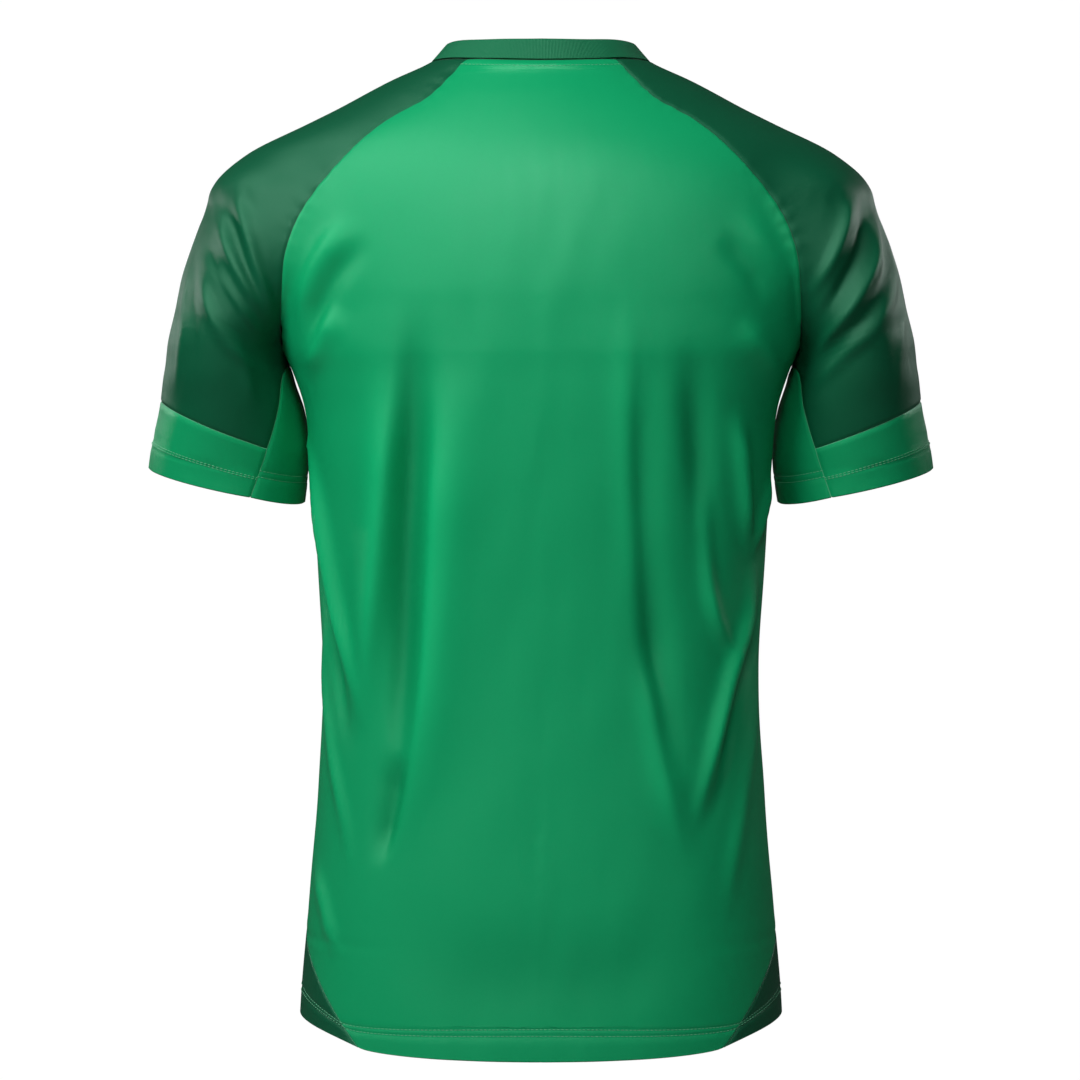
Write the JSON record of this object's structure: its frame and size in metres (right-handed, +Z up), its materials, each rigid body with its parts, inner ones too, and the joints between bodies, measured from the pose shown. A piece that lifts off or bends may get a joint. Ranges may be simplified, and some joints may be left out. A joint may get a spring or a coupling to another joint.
{
  "type": "football jersey",
  "caption": "Short-sleeved football jersey in two greens with raglan sleeves, cuff bands and side inserts, filled out as worn and open at neck, hem and cuffs.",
  "frame": {"origin": "centre of the neck opening at the height of the shoulders' neck points, where the wearer's shoulders hold the jersey up", "axes": "+Z up along the wearer's neck, +X towards the wearer's left sleeve, the front faces -Y"},
  "size_m": [0.6008, 0.2486, 0.7518],
  "materials": {
    "green_knit": "smooth knitted polyester with a soft satin sheen",
    "dark_knit": "smooth knitted polyester, dark green, with a soft satin sheen",
    "collar_knit": "fine rib knit, dark green, matt"
  },
  "bodies": {
    "root": {"back_panel": "green_knit", "front_panel": "green_knit", "sleeve_left": "dark_knit", "sleeve_right": "dark_knit", "cuff_band_left": "green_knit", "cuff_band_right": "green_knit", "under_sleeve_left": "green_knit", "under_sleeve_right": "green_knit", "side_insert_left": "dark_knit", "side_insert_right": "dark_knit", "collar": "collar_knit"}
  },
  "joints": []
}
